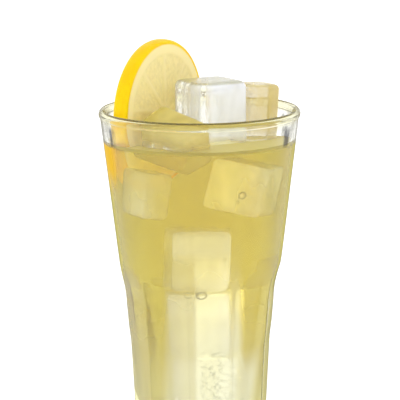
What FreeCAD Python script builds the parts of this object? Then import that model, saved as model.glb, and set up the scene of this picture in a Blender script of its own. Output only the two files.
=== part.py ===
"""A tall iced drink: a faceted tumbler, the drink in it, a lemon slice and the ice that stands out of the drink.

The tumbler is one moulded piece. Its upper part is a plain cone with a rounded lip. Ten flat facets are pressed
into the heavy lower part. They meet in ridges and end in low arches where the cone begins. A drink fills the
cavity up to its level. A round of lemon leans in it on its edge, and three ice cubes rise out of it.

Frame: millimetres, +Z up, origin at the centre of the foot on the table. The front of the drink faces -Y.
"""

import FreeCAD
import Part

import math
import os

from FreeCAD import Vector

UP = Vector(0, 0, 1)

# Tumbler, outside
glass_height = 146.0
lip_radius = 42.0  # outer radius at the widest point of the lip
lip_thickness = 2.6
lip_bead = 0.55  # how far the lip stands proud of the cone below it
lip_height = 3.6
waist_height = 47.0  # where the steep heavy base turns into the flaring cone
waist_radius = 30.2
foot_radius = 27.8  # where the side would meet the table, if the heel were sharp
heel_height = 3.2
heel_inset = 4.0
foot_ring_width = 4.6
punt_depth = 1.8  # how far the middle of the underside is domed up

# Tumbler, facets
facet_count = 10
facet_turn = 8.5  # angle from the front to the middle of the first facet, degrees
facet_arch_start = 64.0
facet_arch_height = 80.0
facet_arch_depth = 1.35  # how deep a facet still is where its arch begins

# Tumbler, cavity
wall_at_lip = 2.1
wall_at_waist = 5.2
floor_thickness = 17.0
cavity_corner_radius = 7.0

# Drink
drink_drop = 13.2  # from the top of the lip down to the level of the drink

# Lemon slice
lemon_radius = 29.8
lemon_thickness = 6.5
peel_bulge = 0.5  # how far the peel swells between the two cut faces
peel_edge_rounding = 0.35
pith_width = 5.2
segment_count = 9
segment_gap = 1.1  # the skin between two segments
segment_corner = 1.3
core_radius = 2.6
pulp_relief = 0.35  # how far the pulp lies below the cut pith
lemon_facing = 58.0  # where the front cut face looks, from the front round to the right, degrees
lemon_sink = 19.0  # how deep the lowest point of the peel lies in the drink
lemon_slide = -2.4  # how far the middle lies off the tumbler's axis, along the slice
lemon_wall_gap = 0.3  # between the edge of its back and the wall
lemon_roll = 12.0

# Ice: bearing of the middle (from the front round to the right, degrees), how far it lies in from the wall and
# above the level, then the size, then turns about Z, the cube's own Y and its own X, in degrees
ice_rounding = 2.2
ICE_CUBES = {
    "ice_tall": ((142.1, 30.4, 10.2), Vector(23.6, 23.6, 28.4), (30.4, 0.0, 0.0)),
    "ice_back": ((121.3, 9.8, 9.1), Vector(14.6, 15.0, 25.0), (30.4, 4.0, 0.0)),
    "ice_front": ((-29.6, 18.3, 2.9), Vector(26.0, 16.0, 18.0), (-36.7, 14.6, 22.0)),
}

inner_lip_radius = lip_radius - lip_thickness
cone_top_height = glass_height - lip_height
cone_top_radius = lip_radius - lip_bead
drink_level = glass_height - drink_drop


def point(radius, height):
    """A point of a profile, in the XZ plane."""
    return Vector(radius, 0, height)


def between(low, high, height):
    """The radius at a height on the straight line through two (radius, height) pairs."""
    share = (height - low[1]) / (high[1] - low[1])
    return low[0] + share * (high[0] - low[0])


def line(start, end):
    return Part.LineSegment(start, end).toShape()


def arc(start, middle, end):
    return Part.Arc(start, middle, end).toShape()


def turned(edges):
    """The solid that a closed profile makes when it turns about Z."""
    face = Part.Face(Part.Wire(edges))
    return face.revolve(Vector(0, 0, 0), UP, 360)


def outer_radius(height):
    """Radius of the round outside, without its facets."""
    waist = (waist_radius, waist_height)
    if height < waist_height:
        return between((foot_radius, 0), waist, height)
    return between(waist, (cone_top_radius, cone_top_height), height)


def cavity_radius(height):
    """Radius of the cavity's straight wall."""
    low = (waist_radius - wall_at_waist, waist_height)
    high = (cone_top_radius - wall_at_lip, cone_top_height)
    return between(low, high, height)


def round_corner(radius_at, height, corner_radius):
    """Start, middle and end of the arc that joins a flat floor at a height to a flaring wall."""
    slope = (radius_at(height + 1) - radius_at(height)) / 1.0
    lean = math.atan(slope)
    tangent = corner_radius * math.tan((math.pi / 2 - lean) / 2)
    corner = point(radius_at(height), height)
    on_floor = corner + Vector(-tangent, 0, 0)
    on_wall = corner + Vector(math.sin(lean), 0, math.cos(lean)) * tangent
    centre = on_floor + Vector(0, 0, corner_radius)
    middle = centre + (corner - centre).normalize() * corner_radius
    return on_floor, middle, on_wall


def bearing(angle):
    """The level direction at an angle from the front (-Y) round to the right (+X), in degrees."""
    turn = math.radians(angle)
    return Vector(math.sin(turn), -math.cos(turn), 0)


def cavity_solid(top_height):
    """The inside of the tumbler, from its floor up to a height on the straight wall."""
    on_floor, middle, on_wall = round_corner(cavity_radius, floor_thickness, cavity_corner_radius)
    wall_top = point(cavity_radius(top_height), top_height)
    return turned(
        [
            line(point(0, floor_thickness), on_floor),
            arc(on_floor, middle, on_wall),
            line(on_wall, wall_top),
            line(wall_top, point(0, top_height)),
            line(point(0, top_height), point(0, floor_thickness)),
        ]
    )


def tumbler_blank():
    """The round tumbler with its foot, punt, lip and cavity, before the facets are pressed in."""
    heel_radius = outer_radius(heel_height)
    foot_outer = heel_radius - heel_inset
    foot_inner = foot_outer - foot_ring_width
    heel_bulge = point(heel_radius - 0.3 * heel_inset, 0.3 * heel_height)
    waist = point(waist_radius, waist_height)
    cone_top = point(cone_top_radius, cone_top_height)
    lip_side = point(lip_radius, glass_height - lip_thickness / 2)
    lip_top = point(lip_radius - lip_thickness / 2, glass_height)
    lip_inside = point(inner_lip_radius + 0.15 * lip_thickness, glass_height - 0.3 * lip_thickness)
    wall_top = point(cavity_radius(cone_top_height), cone_top_height)
    on_floor, corner_middle, on_wall = round_corner(
        cavity_radius, floor_thickness, cavity_corner_radius
    )
    punt_side = point(foot_inner / 2, 0.75 * punt_depth)
    return turned(
        [
            arc(point(0, punt_depth), punt_side, point(foot_inner, 0)),
            line(point(foot_inner, 0), point(foot_outer, 0)),
            arc(point(foot_outer, 0), heel_bulge, point(heel_radius, heel_height)),
            line(point(heel_radius, heel_height), waist),
            line(waist, cone_top),
            arc(cone_top, lip_side, lip_top),
            arc(lip_top, lip_inside, wall_top),
            line(wall_top, on_wall),
            arc(on_wall, corner_middle, on_floor),
            line(on_floor, point(0, floor_thickness)),
            line(point(0, floor_thickness), point(0, punt_depth)),
        ]
    )


def facet_cutter():
    """The space outside one facet: a profile across the wall, drawn out along the facet's width."""
    flatness = math.cos(math.pi / facet_count)
    below_foot = -1.0
    clear = 2 * lip_radius
    half_width = 1.5 * waist_radius * math.tan(math.pi / facet_count)
    foot = point(outer_radius(below_foot) * flatness, below_foot)
    waist = point(waist_radius * flatness, waist_height)
    arch_start = point(outer_radius(facet_arch_start) - facet_arch_depth, facet_arch_start)
    arch_top = point(outer_radius(facet_arch_height), facet_arch_height)
    arch_span = facet_arch_height - facet_arch_start
    arch_side_height = facet_arch_start + 0.7 * arch_span
    arch_side = point(outer_radius(arch_side_height) - 0.75 * facet_arch_depth, arch_side_height)
    over = point(clear, facet_arch_height)
    profile = Part.Wire(
        [
            line(foot, waist),
            line(waist, arch_start),
            arc(arch_start, arch_side, arch_top),
            line(arch_top, over),
            line(over, point(clear, below_foot)),
            line(point(clear, below_foot), foot),
        ]
    )
    cutter = Part.Face(profile).extrude(Vector(0, 2 * half_width, 0))
    cutter.translate(Vector(0, -half_width, 0))
    return cutter


def tumbler():
    glass = tumbler_blank()
    cutter = facet_cutter()
    front = -90.0
    for i in range(facet_count):
        facet = cutter.copy()
        facet.rotate(Vector(0, 0, 0), UP, front + facet_turn + i * 360.0 / facet_count)
        glass = glass.cut(facet)
    return glass


def segment_pocket():
    """The space over the pulp of one segment, lying on z = 0 and pointing along +X."""
    half_angle = math.pi / segment_count
    inner = core_radius + segment_gap / 2
    outer = lemon_radius - pith_width
    side = segment_gap / 2 / math.cos(half_angle)
    near = Vector(inner, (inner - side / math.tan(half_angle)) * math.tan(half_angle) * 0.5, 0)
    near.y = max(near.y, 0.4)
    rim_angle = half_angle - math.asin(segment_gap / 2 / outer)
    far = Vector(outer * math.cos(rim_angle), outer * math.sin(rim_angle), 0)
    far_low = Vector(far.x, -far.y, 0)
    near_low = Vector(near.x, -near.y, 0)
    wire = Part.Wire(
        [
            line(near_low, far_low),
            arc(far_low, Vector(outer, 0, 0), far),
            line(far, near),
            line(near, near_low),
        ]
    )
    pocket = Part.Face(wire).extrude(Vector(0, 0, 2 * pulp_relief))
    outer_corners = [
        e
        for e in pocket.Edges
        if abs(e.Vertexes[0].X - e.Vertexes[-1].X) < 1e-6
        and abs(e.Vertexes[0].Y - e.Vertexes[-1].Y) < 1e-6
        and e.Vertexes[0].X > inner + segment_corner
    ]
    return pocket.makeFillet(segment_corner, outer_corners)


def lemon_middle():
    """Middle of the slice as it stands on its edge, with its back against the wall."""
    height = drink_level - lemon_sink + lemon_radius
    rooms = []
    for i in range(90):
        low = height - lemon_radius * math.sin(math.radians(i))
        reach = lemon_radius * math.cos(math.radians(i)) + abs(lemon_slide) + lemon_wall_gap
        rooms.append(cavity_radius(min(low, cone_top_height)) ** 2 - reach**2)
    back = math.sqrt(min(rooms))
    facing = bearing(lemon_facing)
    along = UP.cross(facing)
    return facing * (lemon_thickness / 2 - back) + along * lemon_slide + UP * height


def lemon_slice():
    """A round slice, made lying flat with its middle at the origin, then stood on its edge."""
    half = lemon_thickness / 2
    cut_radius = lemon_radius - peel_edge_rounding
    top_edge = point(lemon_radius, half - peel_edge_rounding)
    low_edge = point(lemon_radius, peel_edge_rounding - half)
    wheel = turned(
        [
            line(point(0, -half), point(cut_radius, -half)),
            line(point(cut_radius, -half), low_edge),
            arc(low_edge, point(lemon_radius + peel_bulge, 0), top_edge),
            line(top_edge, point(cut_radius, half)),
            line(point(cut_radius, half), point(0, half)),
            line(point(0, half), point(0, -half)),
        ]
    )
    pocket = segment_pocket()
    for i in range(segment_count):
        for side in (1, -1):
            pulp = pocket.copy()
            pulp.translate(Vector(0, 0, half - pulp_relief))
            if side < 0:
                pulp.rotate(Vector(0, 0, 0), Vector(1, 0, 0), 180)
            pulp.rotate(Vector(0, 0, 0), UP, side * (i + 0.25) * 360.0 / segment_count)
            wheel = wheel.cut(pulp)
    wheel.rotate(Vector(0, 0, 0), UP, lemon_roll)
    wheel.rotate(Vector(0, 0, 0), Vector(1, 0, 0), 90)
    wheel.rotate(Vector(0, 0, 0), UP, lemon_facing)
    wheel.translate(lemon_middle())
    return wheel


def ice_cube(place, size, turns):
    """A block with melted, rounded edges."""
    block = Part.makeBox(size.x, size.y, size.z, size * -0.5)
    block = block.makeFillet(ice_rounding, block.Edges)
    about_z, about_y, about_x = turns
    block.rotate(Vector(0, 0, 0), Vector(1, 0, 0), about_x)
    block.rotate(Vector(0, 0, 0), Vector(0, 1, 0), about_y)
    block.rotate(Vector(0, 0, 0), UP, about_z)
    where, inset, rise = place
    block.translate(bearing(where) * (cavity_radius(drink_level) - inset) + UP * (drink_level + rise))
    return block


def drink(lemon, cubes):
    """The drink up to its level, with the room that the lemon and the ice take up."""
    body = cavity_solid(drink_level)
    for thing in [lemon, *cubes]:
        body = body.cut(thing)
    return body


def main():
    lemon = lemon_slice()
    cubes = {name: ice_cube(*sizes) for name, sizes in ICE_CUBES.items()}
    parts = {"tumbler": tumbler(), "lemon_slice": lemon, "drink": drink(lemon, cubes.values()), **cubes}
    os.makedirs("parts", exist_ok=True)
    for name, shape in parts.items():
        solid = shape.Solids[0] if len(shape.Solids) == 1 else shape
        solid.exportStep(os.path.join("parts", name + ".step"))
        print(name, len(shape.Solids), "solid", round(shape.Volume / 1000, 2), "ml", shape.isValid())


main()
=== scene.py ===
"""Looks of a tall iced drink: faceted tumbler, drink, lemon slice, ice, and the stage it stands on.

Everything is in metres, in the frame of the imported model: +Z up, the foot at the origin, the front at -Y.
"""

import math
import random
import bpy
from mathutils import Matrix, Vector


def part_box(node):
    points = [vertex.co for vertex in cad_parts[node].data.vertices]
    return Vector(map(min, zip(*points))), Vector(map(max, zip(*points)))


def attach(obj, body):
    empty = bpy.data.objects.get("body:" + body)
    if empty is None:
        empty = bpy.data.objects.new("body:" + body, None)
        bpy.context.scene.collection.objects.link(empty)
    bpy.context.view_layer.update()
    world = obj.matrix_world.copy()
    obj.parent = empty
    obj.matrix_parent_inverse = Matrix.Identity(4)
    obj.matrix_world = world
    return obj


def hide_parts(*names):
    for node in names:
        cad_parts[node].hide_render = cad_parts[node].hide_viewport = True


bl_info = {
    "name": "Iced Highball",
    "version": (1, 0, 0),
    "blender": (4, 5, 0),
    "location": "3D View > Sidebar > Highball",
    "description": "Builds the glass, drink, lemon slice and ice of a highball round its packed model",
    "category": "Object",
}

import bpy
from bpy.props import FloatProperty, FloatVectorProperty, IntProperty, PointerProperty
from mathutils import Matrix, Vector, noise

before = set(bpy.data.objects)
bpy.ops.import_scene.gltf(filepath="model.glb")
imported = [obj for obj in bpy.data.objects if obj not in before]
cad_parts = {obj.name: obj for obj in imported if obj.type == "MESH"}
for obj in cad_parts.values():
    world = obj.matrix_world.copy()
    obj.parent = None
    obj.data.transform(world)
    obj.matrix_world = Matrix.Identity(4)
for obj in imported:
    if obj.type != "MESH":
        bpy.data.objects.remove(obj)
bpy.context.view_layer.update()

MM = 0.001
TURN = 2 * math.pi
FRONT = -TURN / 4
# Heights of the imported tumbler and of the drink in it, in millimetres
TUMBLER_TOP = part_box("tumbler")[1][2] / MM
DRINK_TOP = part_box("drink")[1][2] / MM
LEMON_LOW, LEMON_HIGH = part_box("lemon_slice")
LEMON_MIDDLE = (Vector(LEMON_LOW) + Vector(LEMON_HIGH)) / 2

# Whole turns added to an angle, so that its fraction of a turn is never negative
WHOLE_TURNS = 100.0
WHITE = (1.0, 1.0, 1.0)
BLACK = (0.0, 0.0, 0.0)
GLASS_IOR = 1.5
DRINK_IOR = 1.335
ICE_IOR = 1.31
SUNK_ICE_IOR = 1.33
BUBBLE_IOR = 0.75


# Sizes and colours that a user would change


def length(name, description, default):
    """A length in metres, whose default is given in millimetres."""
    return FloatProperty(
        name=name, description=description, default=default * MM, unit="LENGTH", precision=5
    )


def angle(name, description, default):
    """An angle, whose default is given in degrees."""
    return FloatProperty(
        name=name, description=description, default=math.radians(default), subtype="ANGLE"
    )


def number(name, description, default):
    return FloatProperty(name=name, description=description, default=default, min=0.0)


def count(name, description, default, least):
    return IntProperty(name=name, description=description, default=default, min=least)


def colour(name, description, default):
    return FloatVectorProperty(
        name=name, description=description, default=default, subtype="COLOR", size=3, min=0.0, max=1.0
    )


class GlassSizes(bpy.types.PropertyGroup):
    """Sizes and colour of the tumbler."""

    height: length("Height", "Height of the lip above the table", TUMBLER_TOP)
    lip_radius: length("Lip radius", "Outer radius at the lip", 42.0)
    lip_thickness: length("Lip thickness", "Thickness of the rounded lip", 2.6)
    lip_bead: length("Lip bead", "How far the lip stands proud of the cone", 0.55)
    lip_height: length("Lip height", "Height of the rounded lip", 3.6)
    waist_height: length("Waist height", "Where the heavy base turns into the cone", 47.0)
    waist_radius: length("Waist radius", "Outer radius at the waist", 30.2)
    foot_radius: length("Foot radius", "Radius of the side carried down to the table", 27.8)
    heel_height: length("Heel height", "Height of the rounded heel", 3.2)
    heel_inset: length("Heel inset", "How far the heel turns in", 4.0)
    foot_ring: length("Foot ring", "Width of the ring the tumbler stands on", 4.6)
    punt_depth: length("Punt depth", "How far the underside is domed up", 1.8)
    facet_count: count("Facets", "Flat facets round the base", 10, 3)
    facet_turn: angle("Facet turn", "From the front to the middle of the first facet", 8.5)
    arch_start: length("Arch start", "Where the facets begin to run out", 64.0)
    arch_height: length("Arch height", "Where the facets end", 80.0)
    arch_depth: length("Arch depth", "Depth of a facet where its arch begins", 1.35)
    wall_at_lip: length("Wall at lip", "Thickness of the wall just below the lip", 2.1)
    wall_at_waist: length("Wall at waist", "Thickness of the wall at the waist", 5.2)
    floor_thickness: length("Floor", "Thickness of the solid glass floor", 17.0)
    cavity_corner: length("Cavity corner", "Rounding of the cavity's floor", 7.0)
    tint: colour("Glass tint", "Colour of the clear glass", (0.985, 0.99, 0.98))
    # Painted reflection and shade: the next two colours are painted at the glass's edges beside the drink,
    # in the drink's colour and dark at the outermost edge
    edge: colour("Glass edge", "Colour of the edge beside the drink", (0.48, 0.42, 0.09))
    outline: colour("Outline", "Colour of the outermost edge", (0.25, 0.23, 0.08))
    # Painted reflection: the next two colours tint the glass with the drink's colour at its sides and with
    # the peel's colour beside the peel
    side_painted_reflection: colour("Side tint", "Tint of the sides beside the drink", (0.64, 0.6, 0.1))
    peel_painted_reflection: colour("Peel tint", "Tint of the wall beside the peel", (0.93, 0.72, 0.2))
    # Painted reflection: the peel's colour painted at the edge beside the peel
    peel_edge_reflection: colour("Peel glow", "Colour of the edge beside the peel", (0.8, 0.48, 0.01))
    depth_tint: colour("Depth tint", "What thick glass lets through", (0.8, 0.78, 0.25))
    depth_strength: number("Depth strength", "Absorption for each metre", 22.0)
    # Painted shade: the next three colours are the dark line and the dark edges painted in the wall above
    # the drink and at the lip
    line: colour("Line", "Colour of the dark line in the empty wall", (0.05, 0.05, 0.07))
    empty_edge_shade: colour("Empty edge", "Colour of the edge above the drink", (0.22, 0.21, 0.17))
    lip_edge_shade: colour("Lip edge", "Colour of the lip's own edge", (0.33, 0.29, 0.14))
    # Painted reflection: the lip is tinted with the drink's colour
    lip_painted_reflection: colour("Lip tint", "Tint of the lip beside the drink", (0.88, 0.85, 0.6))


class DrinkSizes(bpy.types.PropertyGroup):
    """Level and colour of the drink."""

    level: length("Level", "Height of the drink's surface", DRINK_TOP)
    wall_overlap: length("Overlap", "How far the drink reaches into the wall", 0.15)
    meniscus: length("Meniscus", "How far the surface climbs the wall", 1.1)
    colour: colour("Colour", "What a layer of the drink lets through", (0.867, 0.8, 0.03))
    # Painted shade: the clear drink is tinted darker with this colour where seen at a slant
    edge: colour("Edge colour", "Colour where the drink is seen at a slant", (0.7, 0.64, 0.1))
    # Painted light and shade: the cloud is darker olive to the left and far right, and lighter gold in the
    # middle and to the right
    olive: colour("Olive", "Colour of the cloud where it is darkest", (0.66, 0.58, 0.05))
    gold_painted_light: colour("Gold", "Colour of the cloud where it is lightest", (0.93, 0.76, 0.08))
    # Painted light: the cloud is whitened with this colour in front of the sunk ice
    painted_ice_light: colour("Frosty", "Colour of the cloud in front of the sunk ice", (1.0, 1.0, 0.95))
    pale: colour("Pale", "Colour of the cloud at the bottom", (0.9, 0.87, 0.62))
    surface: colour("Surface", "Colour of the cloud at the surface", (0.66, 0.56, 0.13))
    cloud: number("Cloud", "How cloudy the drink is", 0.22)
    top_cloud: number("Surface cloud", "More cloud at the surface", 0.55)
    strength: number("Strength", "Absorption for each metre", 60.0)
    # Painted shade: the dark colour mixed in round the edge of each bubble
    bubble_painted_rim: colour("Bubble rim", "Colour round the edge of a bubble", (0.07, 0.07, 0.04))
    bubble_count: count("Bubbles", "Small bubbles on the wall", 34, 0)


class LemonSizes(bpy.types.PropertyGroup):
    """Shape and colours of the lemon slice."""

    radius: length("Radius", "Radius of the cut faces", 29.8)
    thickness: length("Thickness", "Thickness of the slice", 6.5)
    facing: angle("Facing", "Where the front face looks, from the front round to the right", 58.0)
    roll: angle("Roll", "How far the slice is rolled on its edge", 12.0)
    peel_bulge: length("Peel bulge", "Swelling of the peel between the faces", 0.5)
    pith_width: length("Pith width", "Width of the pale ring under the peel", 5.2)
    # Painted light: the part of the slice under the drink's level gives off light of its own colour
    glow: number("Glow", "Light caught by the part in the drink", 0.5)
    segments: count("Segments", "Segments of pulp", 9, 3)
    segment_skin: length("Skin", "Width of the skin between two segments", 1.1)
    core_radius: length("Core", "Radius of the pale core", 2.6)
    relief: length("Relief", "How far the pulp lies below the pith", 0.35)
    peel: colour("Peel", "Colour of the peel", (0.96, 0.6, 0.0))
    pith: colour("Pith", "Colour of the pith", (1.0, 0.84, 0.42))
    pulp: colour("Pulp", "Colour of the pulp", (0.92, 0.78, 0.36))


class IceSizes(bpy.types.PropertyGroup):
    """Shape and colour of the ice."""

    rounding: length("Rounding", "Melted rounding of the edges", 2.2)
    sunk_melt: number("Sunk melt", "How much rounder the sunk cubes are", 1.1)
    waviness: length("Waviness", "Depth of the melted hollows", 0.35)
    tint: colour("Tint", "Colour of the clear ice", (0.98, 0.99, 0.99))
    mist: colour("Mist", "Colour of the frost in the tall cube", (0.8, 0.82, 0.87))
    # A darker colour laid on the top of the tall cube
    top: colour("Top", "Colour of the tall cube's wet top", (0.5, 0.5, 0.4))
    # Painted light: the next two colours give the frost of the back and front cubes, and the light it gives
    # off, the drink's colour
    tan: colour("Tan", "Colour of the frost in the cube at the back", (0.63, 0.51, 0.2))
    olive: colour("Olive", "Colour of the frost in the front cube", (0.66, 0.55, 0.14))
    sunk: colour("Sunk", "Colour of the frost in the sunk ice", (1.0, 1.0, 0.97))
    # Painted shade: the darker colour of the sunk ice's left side
    sunk_left_shade: colour("Sunk left", "Colour of its left side", (0.62, 0.6, 0.55))
    sunk_high: colour("Sunk high", "Colour of the top of the pile", (0.66, 0.64, 0.6))
    sunk_loose: colour("Sunk loose", "Colour of the cubes above the pile", (1.0, 0.97, 0.8))
    vein: colour("Vein", "Colour of the cracks in the lowest cube", (0.13, 0.15, 0.1))


class StageSizes(bpy.types.PropertyGroup):
    """Camera and light."""

    floor_size: length("Floor", "Side of the square floor", 12000.0)
    camera_distance: length("Camera distance", "From the axis to the camera, level", 790.8)
    camera_height: length("Camera height", "Height of the camera", 267.0)
    camera_tilt: angle("Camera tilt", "How far the camera looks down", 11.45)
    camera_roll: angle("Camera roll", "How far the camera leans", -0.35)
    lens: number("Lens", "Focal length in millimetres", 172.55)
    sky: number("Sky", "Brightness of the light all round", 1.15)
    floor: colour("Floor colour", "Colour of the floor", (0.95, 0.95, 0.95))
    floor_glow: number("Floor glow", "Light that the floor gives off", 0.35)


# Shader helpers


class Wire:
    """An output socket on which Python's arithmetic adds Math nodes."""

    def __init__(self, finish, socket):
        self.finish = finish
        self.socket = socket

    def math(self, operation, *others):
        return self.finish.node("Math", {"operation": operation}, dict(enumerate([self, *others])))

    def __add__(self, other):
        return self.math("ADD", other)

    __radd__ = __add__

    def __mul__(self, other):
        return self.math("MULTIPLY", other)

    __rmul__ = __mul__

    def __sub__(self, other):
        return self.math("SUBTRACT", other)

    def __rsub__(self, other):
        return self.finish.node("Math", {"operation": "SUBTRACT"}, {0: other, 1: self})

    def __truediv__(self, other):
        return self.math("DIVIDE", other)

    def __pow__(self, other):
        return self.math("POWER", other)

    def between(self, low, high):
        """0 below low, 1 above high, smooth in between."""
        inputs = {"Value": self, "From Min": low, "From Max": high}
        return self.finish.node("MapRange", {"interpolation_type": "SMOOTHSTEP"}, inputs)


class Finish:
    """A new material or world, whose nodes come from one method."""

    def __init__(self, owner):
        self.owner = owner
        owner.use_nodes = True
        self.tree = owner.node_tree
        self.tree.nodes.clear()

    def node(self, kind, settings=None, inputs=None, output=0):
        """Adds a node, fed by wires, numbers, vectors and colours of three numbers."""
        node = self.tree.nodes.new("ShaderNode" + kind)
        for name, value in (settings or {}).items():
            setattr(node, name, value)
        for key, value in (inputs or {}).items():
            socket = node.inputs[key]
            if isinstance(value, Wire):
                self.tree.links.new(value.socket, socket)
            else:
                socket.default_value = (*value, 1.0) if socket.type == "RGBA" else value
        return Wire(self, node.outputs[output]) if node.outputs else node

    def place(self, stretch=1.0, location=(0.0, 0.0, 0.0), rotation=(0.0, 0.0, 0.0)):
        """Object coordinates in millimetres, stretched along Z, turned and moved."""
        inputs = {"Vector": self.node("TexCoord", output=3), "Location": location, "Rotation": rotation}
        return self.node("Mapping", {}, {**inputs, "Scale": (1 / MM, 1 / MM, stretch / MM)})

    def facing(self):
        """0 where the surface is seen head-on, 1 where it is seen edge-on."""
        return self.node("LayerWeight", {}, {"Blend": 0.5}, output=1)

    def noise(self, place, scale, detail=2.0, roughness=0.5):
        inputs = {"Vector": place, "Scale": scale, "Detail": detail, "Roughness": roughness}
        return self.node("TexNoise", {}, inputs)

    def blend(self, share, first, second):
        """A colour between two others: inputs 6 and 7 and output 2 of a Mix node are its colours."""
        return self.node("Mix", {"data_type": "RGBA"}, {0: share, 6: first, 7: second}, output=2)

    def layers(self, tint, *others):
        """A colour with others laid over it, each given as its share and itself."""
        for share, other in others:
            tint = self.blend(share, tint, other)
        return tint

    def split(self, vector):
        """The three numbers of a vector."""
        x = self.node("SeparateXYZ", {}, {0: vector})
        return [Wire(self, output) for output in x.socket.node.outputs]

    def bump(self, height, distance, strength):
        return self.node("Bump", {}, {"Height": height, "Distance": distance, "Strength": strength})

    def principled(self, inputs):
        return self.node("BsdfPrincipled", {}, inputs)

    def clear(self, tint, ior, more=None):
        """A shader that light goes through."""
        inputs = {"Base Color": tint, "Roughness": 0.0, "IOR": ior, "Transmission Weight": 1.0}
        return self.principled({**inputs, **(more or {})})

    def dull(self, tint):
        """A shader without a shine."""
        return self.principled({"Base Color": tint, "Roughness": 0.5, "Specular IOR Level": 0.0})

    def mixed(self, share, first, second):
        """A shader between two others."""
        return self.node("MixShader", {}, {0: share, 1: first, 2: second})

    def surface(self, shader, depth_tint=None, strength=0.0):
        """The finished material; the last two say what light loses on its way through the piece."""
        inputs = {"Surface": shader}
        if depth_tint is not None:
            losses = {"Color": depth_tint, "Density": strength}
            inputs["Volume"] = self.node("VolumeAbsorption", {}, losses)
        self.node("OutputMaterial", {}, inputs)
        return self.owner


# Mesh helpers


def deselect():
    """Nothing selected, in object mode."""
    if bpy.context.object and bpy.context.object.mode != "OBJECT":
        bpy.ops.object.mode_set(mode="OBJECT")
    bpy.ops.object.select_all(action="DESELECT")


def activate(piece):
    deselect()
    piece.select_set(True)
    bpy.context.view_layer.objects.active = piece


def bake_place(piece):
    """Moves a piece's place and size into its mesh."""
    activate(piece)
    bpy.ops.object.transform_apply(location=True, rotation=True, scale=True)


def spun(name, profile, steps, start=0.0):
    """A turned piece: a vertex is extruded along the (radius, height) profile and spun about Z."""
    deselect()
    ahead = Vector((math.cos(start), math.sin(start), 0.0))
    points = [ahead * radius + Vector((0.0, 0.0, height)) for radius, height in profile]
    bpy.ops.mesh.primitive_plane_add(size=MM, location=points[0])
    piece = bpy.context.object
    piece.name = piece.data.name = name
    bake_place(piece)
    bpy.ops.object.mode_set(mode="EDIT")
    bpy.ops.mesh.merge(type="CENTER")
    for here, there in zip(points, points[1:]):
        bpy.ops.mesh.extrude_region_move(TRANSFORM_OT_translate={"value": there - here})
    bpy.ops.mesh.select_all(action="SELECT")
    bpy.ops.mesh.spin(steps=steps, angle=TURN, center=(0, 0, 0), axis=(0, 0, 1))
    bpy.ops.mesh.select_all(action="SELECT")
    bpy.ops.mesh.remove_doubles(threshold=1e-6)
    bpy.ops.mesh.normals_make_consistent(inside=False)
    bpy.ops.object.mode_set(mode="OBJECT")
    return piece


def smooth(piece, degrees):
    activate(piece)
    bpy.ops.object.shade_smooth_by_angle(angle=math.radians(degrees))


def joined(name, pieces):
    activate(pieces[0])
    for piece in pieces[1:]:
        piece.select_set(True)
    bpy.ops.object.join()
    piece = bpy.context.object
    piece.name = piece.data.name = name
    return piece


def arc_points(centre, radius, start, end, count):
    """Points along an arc of a profile, angles in radians from +radius towards +height."""
    turns = [start + (end - start) * i / count for i in range(count + 1)]
    return [(centre[0] + radius * math.cos(t), centre[1] + radius * math.sin(t)) for t in turns]


def arc_through(first, middle, last, count):
    """Points along the arc through three points of a profile."""
    (ax, ay), (bx, by), (cx, cy) = first, middle, last
    d = 2 * (ax * (by - cy) + bx * (cy - ay) + cx * (ay - by))
    a2, b2, c2 = ax * ax + ay * ay, bx * bx + by * by, cx * cx + cy * cy
    x = (a2 * (by - cy) + b2 * (cy - ay) + c2 * (ay - by)) / d
    y = (a2 * (cx - bx) + b2 * (ax - cx) + c2 * (bx - ax)) / d
    radius = math.hypot(ax - x, ay - y)
    start, via, end = (math.atan2(py - y, px - x) for px, py in (first, middle, last))
    via, end = (via - start) % TURN, (end - start) % TURN
    if via > end:
        end -= TURN
    return arc_points((x, y), radius, start, start + end, count)


def between(low, high, height):
    """The radius at a height on the straight line through two (radius, height) pairs."""
    share = (height - low[1]) / (high[1] - low[1])
    return low[0] + share * (high[0] - low[0])


# The tumbler's form, which the drink and the bubbles follow


def outer_radius(glass, height):
    waist = (glass.waist_radius, glass.waist_height)
    if height < glass.waist_height:
        return between((glass.foot_radius, 0.0), waist, height)
    cone_top = (glass.lip_radius - glass.lip_bead, glass.height - glass.lip_height)
    return between(waist, cone_top, height)


def cavity_radius(glass, height):
    low = (glass.waist_radius - glass.wall_at_waist, glass.waist_height)
    high_radius = glass.lip_radius - glass.lip_bead - glass.wall_at_lip
    return between(low, (high_radius, glass.height - glass.lip_height), height)


def cavity_lean(glass):
    """How far the cavity widens for each step up."""
    return cavity_radius(glass, 1.0) - cavity_radius(glass, 0.0)


def cavity_floor(glass, swell=0.0):
    """From the middle of the cavity's floor out and round its corner, swollen into the glass."""
    floor = glass.floor_thickness - swell
    corner = glass.cavity_corner + swell
    lean = math.atan(cavity_lean(glass))
    wall = cavity_radius(glass, floor) + swell / math.cos(lean)
    tangent = corner * math.tan((math.pi / 2 - lean) / 2)
    centre = (wall - tangent, floor + corner)
    inner = [(centre[0] * i / 6, floor) for i in range(6)]
    return inner + arc_points(centre, corner, -math.pi / 2, -lean, count=14)


# Between the rings of vertices up the side, and between those at the heel and the arches
RING_STEP = 2.0 * MM
FINE_RING_STEP = 0.5 * MM
# Where the heel's round passes, as a share of its inset and height
HEEL_ROUND = 0.3
WALL_STEPS = 12


def side_heights(glass):
    """Heights of the rings up the side: close together at the heel and at the arches."""
    heights = []
    height = glass.heel_height
    while height < glass.height - glass.lip_height - 2 * RING_STEP:
        near_arch = glass.arch_start - 4 * MM < height < glass.arch_height + 2 * MM
        near_heel = height < glass.heel_height + 3 * MM
        height += FINE_RING_STEP if near_arch or near_heel else RING_STEP
        heights.append(height)
    kept = [h for h in heights if abs(h - glass.waist_height) > FINE_RING_STEP]
    return sorted(kept + [glass.waist_height])


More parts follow.
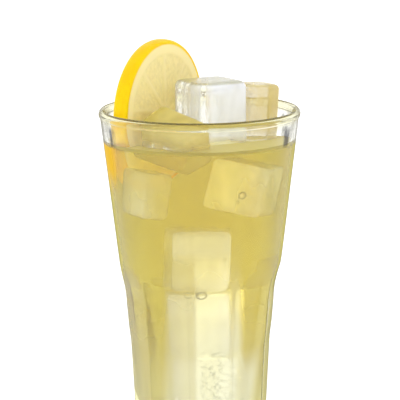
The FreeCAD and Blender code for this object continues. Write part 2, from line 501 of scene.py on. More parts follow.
def tumbler_profile(glass):
    """From under the middle out, up the outside, over the lip and down to the middle of the floor."""
    heel_radius = outer_radius(glass, glass.heel_height)
    foot_outer = heel_radius - glass.heel_inset
    foot_inner = foot_outer - glass.foot_ring
    heel_middle = (heel_radius - HEEL_ROUND * glass.heel_inset, HEEL_ROUND * glass.heel_height)
    punt_middle = (foot_inner / 2, 0.75 * glass.punt_depth)
    punt = arc_through((0.0, glass.punt_depth), punt_middle, (foot_inner, 0.0), count=12)
    heel = arc_through((foot_outer, 0.0), heel_middle, (heel_radius, glass.heel_height), count=10)
    side = [(outer_radius(glass, h), h) for h in side_heights(glass)]
    cone_top_height = glass.height - glass.lip_height
    cone_top = (glass.lip_radius - glass.lip_bead, cone_top_height)
    thickness = glass.lip_thickness
    lip_side = (glass.lip_radius, glass.height - thickness / 2)
    lip_top = (glass.lip_radius - thickness / 2, glass.height)
    lip_inside = (glass.lip_radius - thickness + 0.15 * thickness, glass.height - 0.3 * thickness)
    wall_top = (cavity_radius(glass, cone_top_height), cone_top_height)
    lip = arc_through(cone_top, lip_side, lip_top, count=14)
    lip += arc_through(lip_top, lip_inside, wall_top, count=10)[1:]
    floor = cavity_floor(glass)[::-1]
    shares = [i / WALL_STEPS for i in range(1, WALL_STEPS)]
    wall = [tuple(a + (b - a) * share for a, b in zip(wall_top, floor[0])) for share in shares]
    return punt + heel + side + lip + wall + floor


# The arch of a facet bends through this share of its height, at this share of its depth
ARCH_MIDDLE = 0.7
ARCH_MIDDLE_DEPTH = 0.75


def facet_distance(glass, height):
    """How far a facet's face lies from the axis at a height."""
    flatness = math.cos(math.pi / glass.facet_count)
    waist = (glass.waist_radius * flatness, glass.waist_height)
    start_height = glass.arch_start
    start = (outer_radius(glass, start_height) - glass.arch_depth, start_height)
    if height <= glass.waist_height:
        return between((glass.foot_radius * flatness, 0.0), waist, height)
    if height <= start_height:
        return between(waist, start, height)
    top = (outer_radius(glass, glass.arch_height), glass.arch_height)
    middle_height = start_height + ARCH_MIDDLE * (glass.arch_height - start_height)
    middle_radius = outer_radius(glass, middle_height) - ARCH_MIDDLE_DEPTH * glass.arch_depth
    arch = arc_through(start, (middle_radius, middle_height), top, count=40)
    for low, high in zip(arch, arch[1:]):
        if height <= high[1]:
            return between(low, high, height)
    return between(arch[-2], arch[-1], height)


# Roundness of the ridges between the facets, and how much more they are worn under the arches
RIDGE_ROUND = 0.45 * MM
RIDGE_WEAR = 0.75 * MM
# The wear begins this far below the tops of the arches, and grows and ends over these lengths
WEAR_DEPTH = 26 * MM
WEAR_START = 12 * MM
WEAR_END = 10 * MM
# The facets still press this far above their arches, where they fade out
PRESS_REACH = 12 * MM
# Pressed in by more than this many times the roundness, a facet is flat
RIDGE_LIMIT = 40


def press_facets(piece, glass):
    """Presses the flat facets into the round outside of the tumbler."""
    step = TURN / glass.facet_count
    middle = FRONT + glass.facet_turn
    for vertex in piece.data.vertices:
        x, y, z = vertex.co
        radius = math.hypot(x, y)
        inside = radius < cavity_radius(glass, max(z, 0)) + MM
        if inside or z > glass.arch_height + PRESS_REACH:
            continue
        below = glass.arch_height - z
        worn = max(0.0, min(1.0, (WEAR_DEPTH - below) / WEAR_START, below / WEAR_END))
        softness = RIDGE_ROUND + RIDGE_WEAR * worn
        off = (math.atan2(y, x) - middle + step / 2) % step - step / 2
        flat = facet_distance(glass, z) / math.cos(off)
        away = (radius - flat) / softness
        depth = math.log1p(math.exp(away)) if away < RIDGE_LIMIT else away
        pressed = radius - softness * depth
        vertex.co.x *= pressed / radius
        vertex.co.y *= pressed / radius


# Places in millimetres where the look of the glass changes, each from nothing to the whole
PEEL_SIDE = (-35.0, -31.0)
PEEL_HEIGHT = (108.0, 124.0)
PEEL_BACK = (-6.0, 4.0)
HEAVY_BASE = (66.0, 84.0)
RIDGE_TOP = (72.0, 80.0)


def painted_ridge_shade(glass, facing, x, y, height):
    """Share of the painted shade along the ridges between the facets, only outside: a dark line painted on
    each ridge.
    """
    step = TURN / glass.facet_count
    turns = (y.math("ARCTAN2", x) - FRONT - glass.facet_turn) / step + (WHOLE_TURNS + 0.5)
    near = (0.5 - (turns.math("FRACT") - 0.5).math("ABSOLUTE")) * (step * glass.waist_radius / MM)
    wall = cavity_radius(glass, glass.waist_height) / MM
    above_waist = height - glass.waist_height / MM
    outside = ((x * x + y * y) ** 0.5 - wall - above_waist * cavity_lean(glass)).between(1.5, 2.5)
    ridge = (1.0 - near.between(0.2, 0.6)) * (1.0 - height.between(*RIDGE_TOP)) * outside
    return ridge * (0.05 + facing.between(0.38, 0.6) * 0.85)


def glass_finish(glass):
    """Clear glass with painted reflection and shade at its edges: the drink's colour up to the level, and
    dark lines and outlines.
    """
    finish = Finish(bpy.data.materials.new("clear_glass"))
    facing = finish.facing()
    x, y, height = finish.split(finish.place())
    top = glass.height / MM
    lip = height.between(top - 6.0, top - 1.0)
    lip_foot = height.between(top - 7.0, top - 4.0)
    empty = height.between(DRINK_TOP - 1.0, DRINK_TOP + 1.0)
    full = 1.0 - empty
    base = 1.0 - height.between(*HEAVY_BASE)
    by_peel = (1.0 - x.between(*PEEL_SIDE)) * height.between(*PEEL_HEIGHT)
    by_peel = by_peel * (1.0 - y.between(*PEEL_BACK))
    streaks = finish.noise(finish.place(stretch=0.3), 0.25, 3.0).between(0.35, 0.6)

    # Painted reflection: the clear glass takes the drink's colour where seen at a slant below the level,
    # the peel's colour beside the peel, and a yellow tint at the lip
    side = (facing.between(0.3, 0.75) * full * (1.0 - base * 0.4), glass.side_painted_reflection)
    tint = finish.layers(glass.tint, side, (by_peel * full, glass.peel_painted_reflection), (lip, glass.lip_painted_reflection))
    clear = finish.clear(tint, GLASS_IOR)

    # Painted reflection and shade: a dull shader for the edges, in the drink's colour beside the drink and
    # the peel's colour beside the peel, dark at the outermost edge and round the heavy base; above the
    # level, a dark line and dark edges, darker olive at the lip
    outermost = (facing.between(0.84, 0.97), glass.outline)
    thick = (base * (1.0 - facing.between(0.75, 0.84)), glass.outline)
    beside_drink = finish.layers(glass.edge, (by_peel, glass.peel_edge_reflection), outermost, thick)
    empty_edge_shade = (facing.between(0.66, 0.72), glass.empty_edge_shade)
    above_drink = finish.layers(glass.line, empty_edge_shade, (lip, glass.lip_edge_shade))
    edge = finish.dull(finish.blend(empty, beside_drink, above_drink))

    # Painted shade: a dark, streaky line and darker edges in the wall above the drink
    line = facing.between(0.5, 0.56) * (1.0 - facing.between(0.6, 0.67)) * (0.3 + streaks * 0.7)
    line = line * (1.0 - lip_foot) * 0.8
    wall = (facing.between(0.55, 0.9) * (0.25 + streaks * 0.55)).math("MAXIMUM", line)
    share = (facing - base * 0.08).between(0.6, 0.88) * 0.92
    share = share.math("MAXIMUM", by_peel * facing.between(0.46, 0.68) * 0.85) * full
    share = share + wall * (1.0 - lip * 0.1) * empty
    # Painted shade: dark lines along the ridges
    share = share.math("MAXIMUM", painted_ridge_shade(glass, facing, x, y, height))
    return finish.surface(finish.mixed(share, clear, edge), glass.depth_tint, glass.depth_strength)


class HIGHBALL_OT_tumbler(bpy.types.Operator):
    """Spin the tumbler and press its facets"""

    bl_idname = "highball.tumbler"
    bl_label = "Tumbler"

    def execute(self, context):
        glass = context.scene.highball_glass
        ridge = FRONT + glass.facet_turn + math.pi / glass.facet_count
        piece = spun("tumbler_clear", tumbler_profile(glass), steps=48 * glass.facet_count, start=ridge)
        press_facets(piece, glass)
        smooth(piece, 25.0)
        piece.data.materials.append(glass_finish(glass))
        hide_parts("tumbler")
        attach(piece, "root")
        return {"FINISHED"}


# The ice


def ice_middle(name):
    """The middle of a packed cube, in millimetres."""
    low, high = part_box(name)
    return [(a + b) / 2 / MM for a, b in zip(low, high)]


# Middle, size and turns about Z, Y and X, in millimetres and degrees, of each cube that stands out
STANDING_ICE = {
    "ice_tall": (ice_middle("ice_tall"), (23.6, 23.6, 28.4), (30.4, 0.0, 0.0)),
    "ice_back": (ice_middle("ice_back"), (14.6, 15.0, 25.0), (30.4, 4.0, 0.0)),
    "ice_front": (ice_middle("ice_front"), (26.0, 16.0, 18.0), (-36.7, 14.6, 22.0)),
}
# The same of each sunk cube: a pile of three, and two loose ones above it
SUNK_ICE = [
    ((0.0, -7.6, 31.9), (23.0, 25.0, 24.6), (4.0, 2.0, 0.0)),
    ((0.2, -8.4, 58.9), (23.5, 25.0, 28.6), (-3.0, -1.5, 2.0)),
    ((-0.4, -11.3, 86.4), (22.0, 25.0, 25.4), (4.0, 1.5, -2.0)),
    ((-20.0, -16.0, 114.0), (15.0, 15.0, 20.0), (36.0, 6.0, 5.0)),
    ((16.0, -14.0, 116.5), (24.0, 18.0, 21.5), (-20.0, 12.0, -4.0)),
]
PILE_TOPS = (99.0, 73.0, 44.0)
FIRST_STANDING_SEED = 0
FIRST_SUNK_SEED = 10
ICE_CUTS = 11
# Below 1, the rows of vertices crowd towards the edges of a cube
ICE_CROWDING = 0.8
HOLLOW_SIZE = 7 * MM


def ice_block(middle, size, turns, ice, seed, grow):
    """A block of ice: a cube, subdivided, its edges melted round and its faces hollowed a little."""
    deselect()
    bpy.ops.mesh.primitive_cube_add(size=1.0)
    piece = bpy.context.object
    bpy.ops.object.mode_set(mode="EDIT")
    bpy.ops.mesh.subdivide(number_cuts=ICE_CUTS)
    bpy.ops.object.mode_set(mode="OBJECT")
    half = Vector(size) * MM / 2
    about_z, about_y, about_x = (math.radians(t) for t in turns)
    turn = Matrix.Rotation(about_z, 4, "Z") @ Matrix.Rotation(about_y, 4, "Y")
    turn = turn @ Matrix.Rotation(about_x, 4, "X")
    melt = ice.sunk_melt if seed >= FIRST_SUNK_SEED else 1.0
    rounding = melt * ice.rounding * random.Random(seed).uniform(0.9, 1.5)
    inner = half - Vector((rounding,) * 3)
    shift = Vector((seed * 3.1, seed * 1.7, seed * 2.3))
    for vertex in piece.data.vertices:
        share = Vector([math.copysign(abs(2 * c) ** ICE_CROWDING, c) for c in vertex.co])
        spot = Vector([s * h for s, h in zip(share, half)])
        core = Vector([max(-i, min(i, c)) for i, c in zip(inner, spot)])
        away = (spot - core).normalized()
        spot = core + away * rounding
        streaks = Vector((spot.x, spot.y, spot.z * 0.35)) / HOLLOW_SIZE + shift
        hollow = 0.5 + 0.5 * noise.noise(streaks) + 0.25 * noise.noise(streaks * 2.7)
        spot -= away * ice.waviness * hollow
        spot += away * grow
        vertex.co = turn @ spot + Vector(middle) * MM
    smooth(piece, 60.0)
    return piece


def ice_blocks(places, ice, first_seed, grow=0.0):
    """A block at each place, grown or shrunk a little, and melted in its own way."""
    return [ice_block(*place, ice, first_seed + i, grow) for i, place in enumerate(places)]


def clear_ice(finish, tint, ior):
    """Clear ice with a ripple on it."""
    ripple = finish.noise(finish.place(stretch=0.4), 0.35, 3.0, 0.6)
    normal = finish.bump(ripple, 0.6 * MM, 0.5)
    return finish.clear(tint, ior, {"Roughness": 0.02, "Normal": normal})


def frozen_air(finish, least, most):
    """How much of the ice is frost: a cloud between two shares."""
    cloud = finish.noise(finish.place(stretch=0.5), 0.07).between(0.3, 0.7)
    return least + cloud * (most - least)


def frosted(finish, frost, clear, tint, glow):
    """Clear ice with the frost in it; the frost also gives off light of its own colour, a painted glow."""
    inputs = {"Base Color": tint, "Roughness": 0.3, "Emission Color": tint, "Emission Strength": glow}
    return finish.surface(finish.mixed(frost, clear, finish.principled(inputs)))


def standing_ice_finish(name, ice, tint, least, most, glow, top_and_left_side=None):
    """Ice that stands out of the drink, and clears where it dips into it.

    Ice may also take a darker colour at its top, near a given height, and less frost to the left of a given
    place, a painted shade on its left side.
    """
    finish = Finish(bpy.data.materials.new(name))
    clear = clear_ice(finish, ice.tint, ICE_IOR)
    frost = frozen_air(finish, least, most)
    x, _, z = finish.split(finish.place())
    if top_and_left_side:
        top_colour, top, left = top_and_left_side
        tint = finish.blend(z.between(top - 1.6, top - 0.6), tint, top_colour)
        # Painted shade: less frost, so less glow, on the left side
        frost = frost * (0.3 + x.between(left - 2.0, left + 1.0) * 0.7)
    dry = z.between(DRINK_TOP - 3.0, DRINK_TOP + 7.0)
    return frosted(finish, frost * (0.06 + dry * 0.94), clear, tint, glow)


def whiter_tops(frost, z, start, end, more):
    """More frost near the top of each cube in the pile, between two depths under it."""
    for top in PILE_TOPS:
        under = z.between(top - start, top - 7.0) * (1.0 - z.between(top - end, top + 1.0))
        frost = frost + under * more
    return frost


def sunk_ice_finish(ice):
    """Soft white ice under the level: whiter near the tops, with a painted shade on its left side and
    painted light on its right, and cracked in the lowest cube.
    """
    finish = Finish(bpy.data.materials.new("sunk_ice"))
    clear = clear_ice(finish, ice.tint, SUNK_ICE_IOR)
    facing = finish.facing()
    x, _, z = finish.split(finish.place())
    # Painted shade and light: the left side is darker, and the right side whiter, with more frost
    right = x.between(-3.2, -1.4)
    loose = z.between(99.0, 103.0)
    lines = finish.noise(finish.place(stretch=1.6), 0.2, 3.0)
    vein = (1.0 - (lines - 0.5).math("ABSOLUTE") * 32.0).math("MAXIMUM", 0.0)
    vein = vein * (1.0 - z.between(42.0, 58.0)) * x.between(-3.0, 1.0)

    high = (z.between(81.0, 91.0), ice.sunk_high)
    above = (loose, ice.sunk_loose)
    tint = finish.layers(ice.sunk_left_shade, (right, ice.sunk), high, above, (vein, ice.vein))

    frost = whiter_tops(frozen_air(finish, 0.2, 0.55), z, 12.0, 2.0, 0.25)
    frost = frost * (0.9 + right * 0.3) + (1.0 - z.between(20.0, 80.0)) * 0.25
    frost = whiter_tops(frost, z, 15.0, 4.0, 0.35) * (1.0 - loose * 0.3)
    frost = frost * (1.0 - facing.between(0.45, 0.85) * 0.9)
    frost = frost + vein * 0.5 + (1.0 - z.between(28.0, 46.0)) * right * 0.25
    # Painted light: the frost glows
    return frosted(finish, frost, clear, tint, 0.6)


class HIGHBALL_OT_standing_ice(bpy.types.Operator):
    """Shape the ice cubes that stand out of the drink"""

    bl_idname = "highball.standing_ice"
    bl_label = "Standing ice"

    def execute(self, context):
        ice = context.scene.highball_ice
        top_and_left_side = (ice.top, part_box("ice_tall")[1][2] / MM, 4.0)
        # Painted light: the last number of each is the glow of its frost
        finishes = [
            standing_ice_finish("ice_tall_frost", ice, ice.mist, 0.35, 0.9, 0.15, top_and_left_side),
            # Painted light: tan and olive frost, in the drink's colour
            standing_ice_finish("ice_back_frost", ice, ice.tan, 0.35, 0.8, 0.15),
            standing_ice_finish("ice_front_frost", ice, ice.olive, 0.5, 0.85, 0.1),
        ]
        blocks = ice_blocks(STANDING_ICE.values(), ice, FIRST_STANDING_SEED)
        for node, piece, finish in zip(STANDING_ICE, blocks, finishes):
            piece.name = piece.data.name = node + "_wet"
            piece.data.materials.append(finish)
            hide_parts(node)
            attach(piece, "root")
        return {"FINISHED"}


class HIGHBALL_OT_sunk_ice(bpy.types.Operator):
    """Stack the ice cubes that are sunk in the drink"""

    bl_idname = "highball.sunk_ice"
    bl_label = "Sunk ice"

    def execute(self, context):
        ice = context.scene.highball_ice
        piece = joined("ice_sunk", ice_blocks(SUNK_ICE, ice, FIRST_SUNK_SEED))
        piece.data.materials.append(sunk_ice_finish(ice))
        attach(piece, "root")
        return {"FINISHED"}


# The drink

# How far in from the wall the surface curves up, and how fast that curve dies away
MENISCUS_REACH = 6 * MM
MENISCUS_FADE = 1.1 * MM
DRINK_STEPS = 14
# How much smaller than a cube its hole in the drink is, so that no air is left between them
HOLE_GAP = 0.12 * MM


def drink_profile(glass, drink):
    """From the middle of the floor out, up the wall, over the meniscus and in to the middle."""
    overlap = drink.wall_overlap
    level = drink.level
    floor = cavity_floor(glass, overlap)
    wall_radius = cavity_radius(glass, level) + overlap
    corner = floor[-1][1]
    steps = range(1, DRINK_STEPS + 1)
    heights = [corner + (level + drink.meniscus - corner) * i / DRINK_STEPS for i in steps]
    wall = [(cavity_radius(glass, height) + overlap, height) for height in heights]
    inward = [MENISCUS_REACH * (i / DRINK_STEPS) ** 1.6 for i in steps]
    surface = [(wall_radius - d, level + drink.meniscus * math.exp(-d / MENISCUS_FADE)) for d in inward]
    inner = wall_radius - MENISCUS_REACH
    middle = [(inner * (1 - i / 10), level) for i in range(1, 11)]
    return floor + wall + surface + middle


def drink_finish(drink):
    """A clear drink with a little cloud of juice in it, whose colour is painted light and shade: lighter
    gold in the middle and to the right, darker olive to the left and far right.
    """
    finish = Finish(bpy.data.materials.new("pale_drink"))
    x, y, z = finish.split(finish.place())
    # Painted shade: the clear drink is tinted darker where seen at a slant
    slanting = finish.facing().between(0.35, 1.0)
    clear = finish.clear(finish.blend(slanting, WHITE, drink.edge), DRINK_IOR)
    drift = finish.noise(finish.place(stretch=0.35), 0.05)
    # Painted light and shade: a lighter gold band across the middle and right, darker olive at the left and
    # far right
    across = x + drift * 16.0 - 8.0
    painted_light_band = across.between(-34.0, 0.0) * (1.0 - across.between(20.0, 28.0))
    top = z.between(drink.level / MM - 0.6, drink.level / MM - 0.1)
    low = 1.0 - z.between(22.0, 78.0)

    # Painted light: the cloud is whitened in front of the pile of sunk ice, and to the right of it at the
    # bottom, less on the pile's left
    column = x.between(-16.0, -12.5) * (1.0 - x.between(14.0, 17.5))
    column = (column + (1.0 - z.between(34.0, 50.0)) * x.between(12.0, 15.0)).math("MINIMUM", 1.0)
    painted_ice_light = column * (1.0 - z.between(56.0, 106.0)) * (1.0 - y.between(-14.0, -6.0))
    painted_ice_light = painted_ice_light * (0.6 + x.between(-4.0, -1.0) * 0.4)

    pale = (low * 0.8, drink.pale)
    white = (painted_ice_light, drink.painted_ice_light)
    juice = finish.layers(drink.olive, (painted_light_band, drink.gold_painted_light), pale, white, (top, drink.surface))
    cloudy = finish.dull(juice)

    sides = x.math("ABSOLUTE").between(8.0, 32.0) * z.between(58.0, 80.0) * 0.16
    bottom = low * (0.3 + x.between(6.0, 18.0) * 0.15)
    share = drink.cloud + top * drink.top_cloud + bottom + sides + (drift - 0.5) * 0.2 + painted_ice_light * 0.12
    return finish.surface(finish.mixed(share, clear, cloudy), drink.colour, drink.strength)


class HIGHBALL_OT_drink(bpy.types.Operator):
    """Fill the cavity with the drink, round the ice"""

    bl_idname = "highball.drink"
    bl_label = "Drink"

    def execute(self, context):
        glass = context.scene.highball_glass
        drink = context.scene.highball_drink
        ice = context.scene.highball_ice
        piece = spun("drink_clear", drink_profile(glass, drink), steps=160)
        blocks = ice_blocks(STANDING_ICE.values(), ice, FIRST_STANDING_SEED, -HOLE_GAP)
        blocks += ice_blocks(SUNK_ICE, ice, FIRST_SUNK_SEED, -HOLE_GAP)
        hole = joined("holes", blocks)
        activate(piece)
        cut = piece.modifiers.new("holes", "BOOLEAN")
        cut.operation = "DIFFERENCE"
        cut.solver = "EXACT"
        cut.object = hole
        bpy.ops.object.modifier_apply(modifier=cut.name)
        bpy.data.objects.remove(hole)
        smooth(piece, 35.0)
        piece.data.materials.append(drink_finish(drink))
        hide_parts("drink")
        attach(piece, "root")
        return {"FINISHED"}


# The bubbles

# Place across, height above the table, width and height of each bubble on the front wall, in millimetres
BUBBLES = [
    (16.4, 115.0, 3.4, 3.1),
    (14.6, 112.4, 1.4, 1.3),
    (-5.0, 73.2, 2.4, 2.6),
    (0.2, 73.0, 4.6, 3.6),
    (-13.2, 64.8, 1.2, 1.2),
    (9.4, 88.2, 1.1, 1.0),
    (12.6, 31.8, 1.6, 1.2),
    (5.2, 27.6, 1.4, 1.0),
    (8.0, 24.4, 2.2, 1.3),
]
BUBBLE_SEED = 41
BUBBLE_SQUEEZE = 0.4


def bubble_radius(glass, height, wide):
    """How far from the axis the middle of a bubble at the wall lies, all in millimetres."""
    return cavity_radius(glass, height * MM) / MM - (0.3 * wide + 0.25)


def bubble(wide, high, place):
    """A bubble pressed a little flat against the wall; its sizes and its place are in millimetres."""
    width, height, middle = wide * MM, high * MM, Vector([c * MM for c in place])
    deselect()
    bpy.ops.mesh.primitive_ico_sphere_add(subdivisions=3, radius=0.5)
    piece = bpy.context.object
    away = middle.xy.normalized()
    for vertex in piece.data.vertices:
        flat = vertex.co.x * away.x + vertex.co.y * away.y
        spot = vertex.co * width
        spot.z = vertex.co.z * height
        squeeze = flat * width * BUBBLE_SQUEEZE
        vertex.co = middle + spot - Vector((away.x, away.y, 0.0)) * squeeze
    return piece


def bubble_finish(drink):
    """Air in the drink: light bends the other way through it, and its dark edge is a painted shade, a dark
    shader mixed in where the bubble is seen at a slant.
    """
    finish = Finish(bpy.data.materials.new("air_bubbles"))
    air = finish.node("BsdfGlass", {}, {"Color": WHITE, "Roughness": 0.0, "IOR": BUBBLE_IOR})
    rim = finish.principled({"Base Color": drink.bubble_painted_rim, "Roughness": 0.2})
    return finish.surface(finish.mixed(finish.facing().between(0.2, 0.6), air, rim))


class HIGHBALL_OT_bubbles(bpy.types.Operator):
    """Put bubbles on the inside of the wall"""

    bl_idname = "highball.bubbles"
    bl_label = "Bubbles"

    def execute(self, context):
        glass = context.scene.highball_glass
        drink = context.scene.highball_drink
        chance = random.Random(BUBBLE_SEED)
        blocks = []
        for across, height, wide, high in BUBBLES:
            radius = bubble_radius(glass, height, wide)
            blocks.append(bubble(wide, high, (across, -math.sqrt(radius**2 - across**2), height)))
        for _ in range(drink.bubble_count):
            turn = chance.uniform(0.0, TURN)
            height = chance.uniform(26.0, drink.level / MM - 4.0)
            wide = chance.uniform(0.4, 1.1)
            radius = bubble_radius(glass, height, wide)
            spot = (radius * math.cos(turn), radius * math.sin(turn), height)
            blocks.append(bubble(wide, wide * 0.9, spot))
        piece = joined("bubbles", blocks)
        smooth(piece, 60.0)
        piece.data.materials.append(bubble_finish(drink))
        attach(piece, "root")
        return {"FINISHED"}


# The lemon slice

LEMON_RINGS = 44
# Rounding of the corner between a cut face and the peel
LEMON_CORNER = 0.9 * MM
# Over what distance the pulp sinks to its depth, and the rounding of a segment's outer corners
PULP_SLOPE = 0.7 * MM
PULP_CORNER = 1.6 * MM


def lemon_turn(lemon):
    """Carries the slice from lying flat to standing on its edge."""
    upright = Matrix.Rotation(lemon.facing, 4, "Z") @ Matrix.Rotation(math.radians(90), 4, "X")
    return upright @ Matrix.Rotation(lemon.roll, 4, "Z")


def lemon_profile(lemon):
    """From the middle of the upper face out, round the peel and back in under the lower face."""
    half = lemon.thickness / 2
    edge = lemon.radius - LEMON_CORNER
    upper = [(lemon.radius * 0.97 * (i / LEMON_RINGS), half) for i in range(LEMON_RINGS)]
    upper += arc_points((edge, half - LEMON_CORNER), LEMON_CORNER, math.pi / 2, 0.15, count=6)
    peel = []
    for i in range(1, 8):
        height = (half - LEMON_CORNER) * (1 - 2 * i / 8)
        swell = lemon.peel_bulge * (1 - (height / half) ** 2)
        peel.append((lemon.radius + swell - 0.02 * MM, height))
    return upper + peel + [(radius, -height) for radius, height in upper[::-1]]


def lemon_relief(lemon, radius, turn):
    """Depth of the pulp, 0 to 1, at a place on a cut face."""
    step = TURN / lemon.segments
    off = abs((turn / step) % 1.0 - 0.5) * step
    skin = radius * math.sin(step / 2 - off) - lemon.segment_skin / 2
    outer = lemon.radius - lemon.pith_width - radius
    inner = radius - lemon.core_radius - lemon.segment_skin / 2
    depth = min(skin, outer, inner, PULP_CORNER)
    if skin < PULP_CORNER and outer < PULP_CORNER:
        depth = PULP_CORNER - math.hypot(PULP_CORNER - skin, PULP_CORNER - outer)
    return max(0.0, min(1.0, depth / PULP_SLOPE))


def lemon_finish(lemon):
    """Peel with pores, pale pith, and pulp whose grain runs out from the core; below the drink's level the
    slice glows in its own colours, a painted light.
    """
    finish = Finish(bpy.data.materials.new("lemon_flesh"))
    turn = lemon_turn(lemon).inverted()
    shift = turn @ LEMON_MIDDLE / -MM
    place = finish.place(location=tuple(shift), rotation=tuple(turn.to_euler("XYZ")))
    x, y, z = finish.split(place)
    radius = (x * x + y * y) ** 0.5
    around = y.math("ARCTAN2", x)
    wobble = finish.noise(place, 0.25) * 1.4 - 0.7

    step = TURN / lemon.segments
    off = ((around / step + WHOLE_TURNS).math("FRACT") - 0.5).math("ABSOLUTE") * step
    skin = radius * (step / 2 - off).math("SINE") - lemon.segment_skin / 2 / MM
    outer = (lemon.radius - lemon.pith_width) / MM - radius
    inner = radius - (lemon.core_radius + lemon.segment_skin / 2) / MM
    pulp = (skin.math("MINIMUM", outer).math("MINIMUM", inner) + wobble * 0.6).between(0.0, 0.9)
    rim = lemon.radius / MM
    edge = (radius + wobble * 0.25).between(rim - 2.0, rim - 1.2)

    grain = finish.node("CombineXYZ", {}, {0: around * 5.0, 1: radius * 0.22, 2: z * 0.1})
    cells = finish.noise(grain, 2.2, 4.0)
    dark_pulp = [c * 0.94 for c in lemon.pulp]
    light_pulp = [min(1.0, c * 1.06) for c in lemon.pulp]
    pulp_colour = finish.blend(cells.between(0.25, 0.75), dark_pulp, light_pulp)
    membrane = finish.blend(0.6, lemon.pith, lemon.pulp)
    skin_colour = finish.blend(outer.between(-0.6, 0.6), lemon.pith, membrane)
    pores = finish.node("TexVoronoi", {}, {"Vector": place, "Scale": 0.9})
    light_peel = (lemon.peel[0], lemon.peel[1] * 1.12, lemon.peel[2])
    patches = finish.noise(place, 0.12, 3.0).between(0.3, 0.7)
    peel_colour = finish.blend(patches, lemon.peel, light_peel)
    whole = finish.blend(edge, finish.blend(pulp, skin_colour, pulp_colour), peel_colour)

    relief = cells * pulp * 0.25 + pores * edge * 0.35
    # Painted light: below the drink's level the slice gives off light of its own colour
    under = 1.0 - finish.split(finish.place())[2].between(DRINK_TOP - 3.0, DRINK_TOP)
    inputs = {
        "Base Color": whole,
        "Roughness": 0.4,
        "Specular IOR Level": 0.15,
        "Emission Color": finish.blend(under, BLACK, whole),
        "Emission Strength": lemon.glow,
        "Subsurface Weight": 0.35,
        "Subsurface Radius": (1.0, 0.8, 0.35),
        "Subsurface Scale": 2.5 * MM,
        "Normal": finish.bump(relief, 0.6 * MM, 0.6),
    }
    return finish.surface(finish.principled(inputs))


class HIGHBALL_OT_lemon(bpy.types.Operator):
    """Cut the lemon slice and stand it in the drink"""

    bl_idname = "highball.lemon"
    bl_label = "Lemon slice"

    def execute(self, context):
        lemon = context.scene.highball_lemon
        piece = spun("lemon_cut", lemon_profile(lemon), steps=216)
        half = lemon.thickness / 2
        turn = lemon_turn(lemon)
        for vertex in piece.data.vertices:
            x, y, z = vertex.co
            if abs(z) > half - 0.05 * MM:
                depth = lemon_relief(lemon, math.hypot(x, y), math.atan2(y, x))
                grain = 0.8 + 0.4 * noise.noise(Vector((x, y, z)) / (1.5 * MM))
                vertex.co.z -= math.copysign(lemon.relief * depth * grain, z)
            vertex.co = turn @ vertex.co + LEMON_MIDDLE
        smooth(piece, 50.0)
        piece.data.materials.append(lemon_finish(lemon))
        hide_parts("lemon_slice")
        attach(piece, "root")
        return {"FINISHED"}


# The stage


def studio_light(stage):
    """An even white light from all round, a little weaker from the sides and from above."""
    world = bpy.data.worlds.new("studio")
    bpy.context.scene.world = world
    finish = Finish(world)
    x, _, z = finish.split(finish.node("TexCoord", output=3))
    side = x.math("ABSOLUTE").between(0.5, 0.95)
    above = z.between(0.5, 0.95)
    light = (1.0 - side * 0.2) * (1.0 - above * 0.15)
    shade = finish.blend(light, BLACK, WHITE)
    background = finish.node("Background", {}, {"Color": shade, "Strength": stage.sky})
    finish.node("OutputWorld", {}, {"Surface": background})


def floor_finish(stage):
    finish = Finish(bpy.data.materials.new("pale_floor"))
    inputs = {
        "Base Color": stage.floor,
        "Roughness": 0.9,
        "Emission Color": WHITE,
        "Emission Strength": stage.floor_glow,
    }
    return finish.surface(finish.principled(inputs))


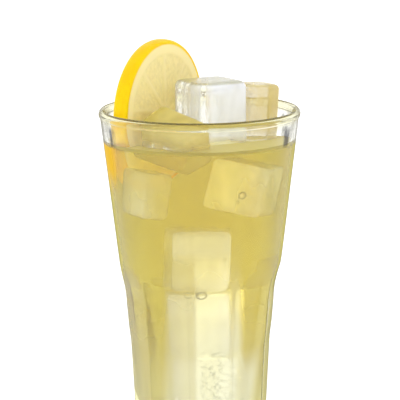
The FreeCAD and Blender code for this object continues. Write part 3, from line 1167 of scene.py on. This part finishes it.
class HIGHBALL_OT_stage(bpy.types.Operator):
    """Set the pale floor, the light and the camera"""

    bl_idname = "highball.stage"
    bl_label = "Stage"

    def execute(self, context):
        stage = context.scene.highball_stage
        scene = context.scene
        deselect()
        bpy.ops.mesh.primitive_plane_add(size=stage.floor_size)
        floor = context.object
        floor.name = "floor"
        bake_place(floor)
        floor.data.materials.append(floor_finish(stage))
        studio_light(stage)
        bpy.ops.object.camera_add()
        camera = context.object
        camera.name = "camera"
        camera.data.lens = stage.lens
        camera.data.clip_start = 0.01
        camera.data.clip_end = 50.0
        camera.matrix_world = (
            Matrix.Translation((0.0, -stage.camera_distance, stage.camera_height))
            @ Matrix.Rotation(math.pi / 2 - stage.camera_tilt, 4, "X")
            @ Matrix.Rotation(stage.camera_roll, 4, "Z")
        )
        scene.camera = camera
        scene.view_settings.view_transform = "Standard"
        scene.view_settings.look = "None"
        # Enough bounces for light to pass the glass, the drink and the ice
        scene.cycles.max_bounces = 32
        scene.cycles.transmission_bounces = 32
        scene.cycles.glossy_bounces = 8
        scene.cycles.transparent_max_bounces = 16
        scene.cycles.caustics_refractive = True
        scene.cycles.blur_glossy = 0.0
        return {"FINISHED"}


class HIGHBALL_PT_panel(bpy.types.Panel):
    """Lists the pieces of the drink"""

    bl_idname = "HIGHBALL_PT_panel"
    bl_label = "Highball"
    bl_space_type = "VIEW_3D"
    bl_region_type = "UI"
    bl_category = "Highball"

    def draw(self, context):
        for operator in OPERATORS:
            self.layout.operator(operator.bl_idname)
        for name in SIZES:
            group = getattr(context.scene, name)
            box = self.layout.box()
            for key in group.__annotations__:
                box.prop(group, key)


SIZES = {
    "highball_glass": GlassSizes,
    "highball_drink": DrinkSizes,
    "highball_lemon": LemonSizes,
    "highball_ice": IceSizes,
    "highball_stage": StageSizes,
}
OPERATORS = [
    HIGHBALL_OT_stage,
    HIGHBALL_OT_tumbler,
    HIGHBALL_OT_standing_ice,
    HIGHBALL_OT_sunk_ice,
    HIGHBALL_OT_drink,
    HIGHBALL_OT_bubbles,
    HIGHBALL_OT_lemon,
]


def register():
    for name, group in SIZES.items():
        bpy.utils.register_class(group)
        setattr(bpy.types.Scene, name, PointerProperty(type=group))
    for cls in [*OPERATORS, HIGHBALL_PT_panel]:
        bpy.utils.register_class(cls)


def unregister():
    for cls in [HIGHBALL_PT_panel, *OPERATORS[::-1]]:
        bpy.utils.unregister_class(cls)
    for name, group in SIZES.items():
        delattr(bpy.types.Scene, name)
        bpy.utils.unregister_class(group)


def main():
    register()
    bpy.ops.highball.stage()
    bpy.ops.highball.tumbler()
    bpy.ops.highball.standing_ice()
    bpy.ops.highball.sunk_ice()
    bpy.ops.highball.drink()
    bpy.ops.highball.bubbles()
    bpy.ops.highball.lemon()
    deselect()


if __name__ == "__main__":
    main()
